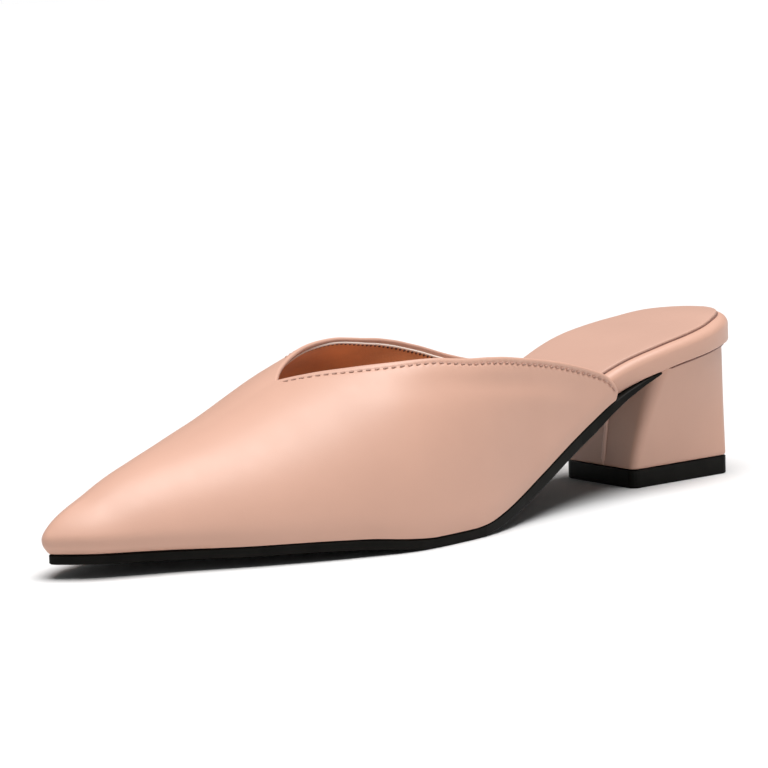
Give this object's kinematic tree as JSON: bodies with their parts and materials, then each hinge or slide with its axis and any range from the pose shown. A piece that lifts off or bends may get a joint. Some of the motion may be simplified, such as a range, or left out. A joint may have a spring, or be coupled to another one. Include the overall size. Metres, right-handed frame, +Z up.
{
  "type": "block heel mule",
  "caption": "Backless pink leather mule with a pointed closed toe, a V cut throat, a padded footbed, a thin black sole and a wrapped block heel.",
  "frame": {"origin": "middle of the bounding box seen from above, at the floor", "axes": "+Z up, -Y towards the toe, +Y towards the heel, +X towards the outer side of this left shoe"},
  "size_m": [0.0864, 0.2702, 0.0592],
  "materials": {
    "upper_leather": "smooth satin pink synthetic leather",
    "outsole_rubber": "matte black moulded rubber",
    "footbed_leather": "smooth pink synthetic leather wrapped over padding",
    "sock_leather": "soft matte pink lining leather",
    "heel_leather": "smooth pink synthetic leather wrapped over a block",
    "top_piece_rubber": "matte black hard rubber"
  },
  "bodies": {
    "root": {"upper": "upper_leather", "outsole": "outsole_rubber", "insole": "footbed_leather", "sock": "sock_leather", "heel": "heel_leather", "top_piece": "top_piece_rubber"}
  },
  "joints": []
}
